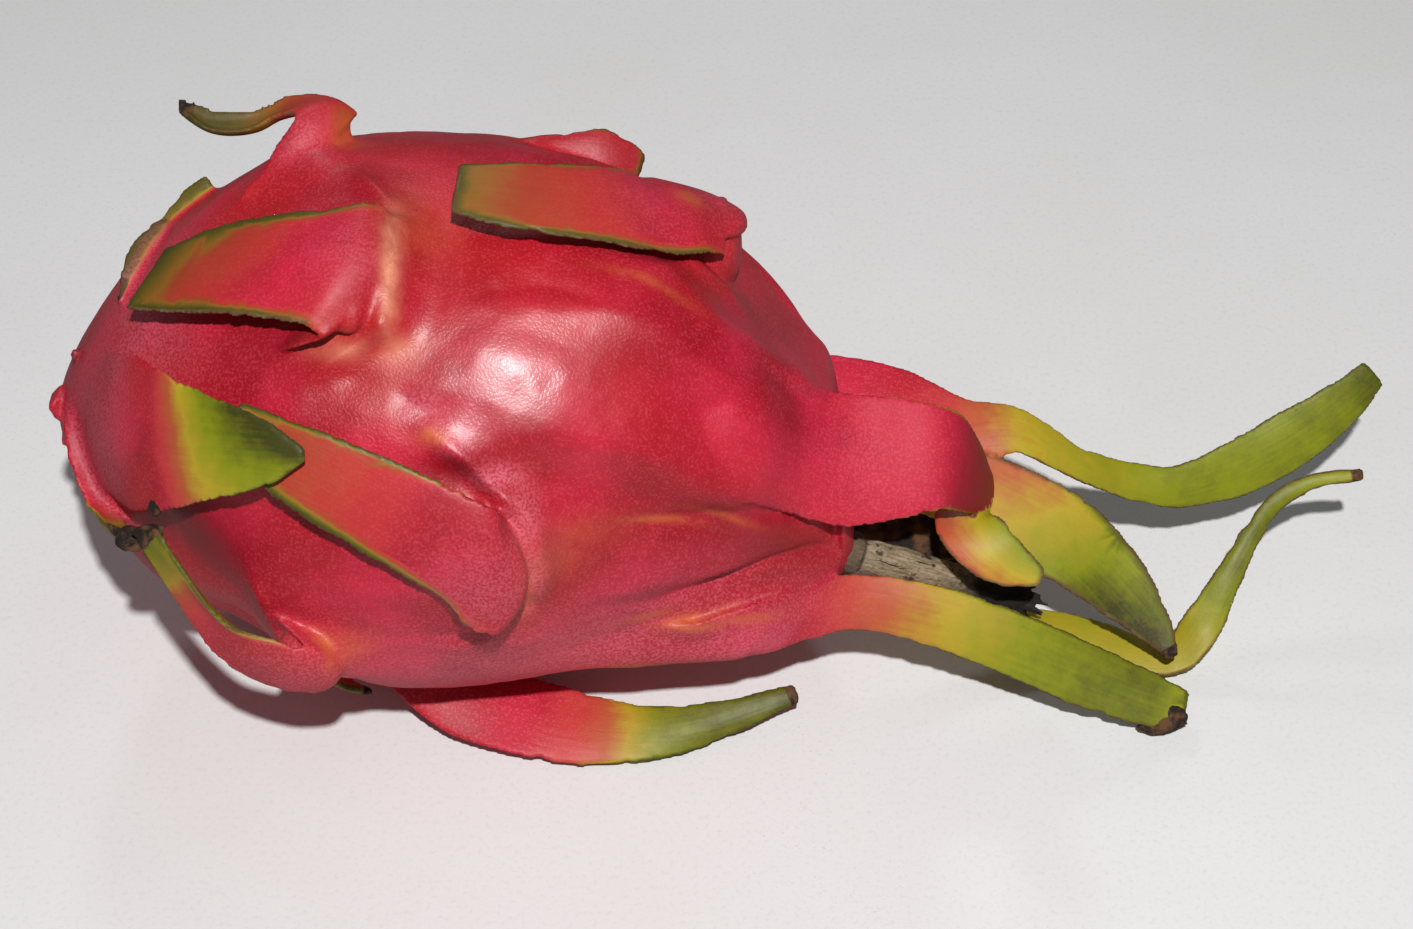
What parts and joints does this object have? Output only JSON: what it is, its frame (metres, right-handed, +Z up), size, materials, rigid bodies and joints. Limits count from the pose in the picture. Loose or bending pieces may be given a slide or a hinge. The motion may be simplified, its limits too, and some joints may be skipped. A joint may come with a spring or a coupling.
{
  "type": "dragon fruit",
  "caption": "Egg-shaped dragon fruit lying on its belly, with folded-back leathery bracts, long green neck bracts and a dried flower stub.",
  "frame": {"origin": "on the ground, under the middle of the bounding box", "axes": "+X from the stem end to the flower end, +Y to the back, +Z up from the belly it lies on"},
  "size_m": [0.2134, 0.1011, 0.0932],
  "materials": {
    "rind": "waxy crimson rind with green bract tips",
    "dried_wood": "dry grey-brown stalk"
  },
  "bodies": {
    "root": {"fruit": "rind", "dried_flower": "dried_wood"}
  },
  "joints": []
}
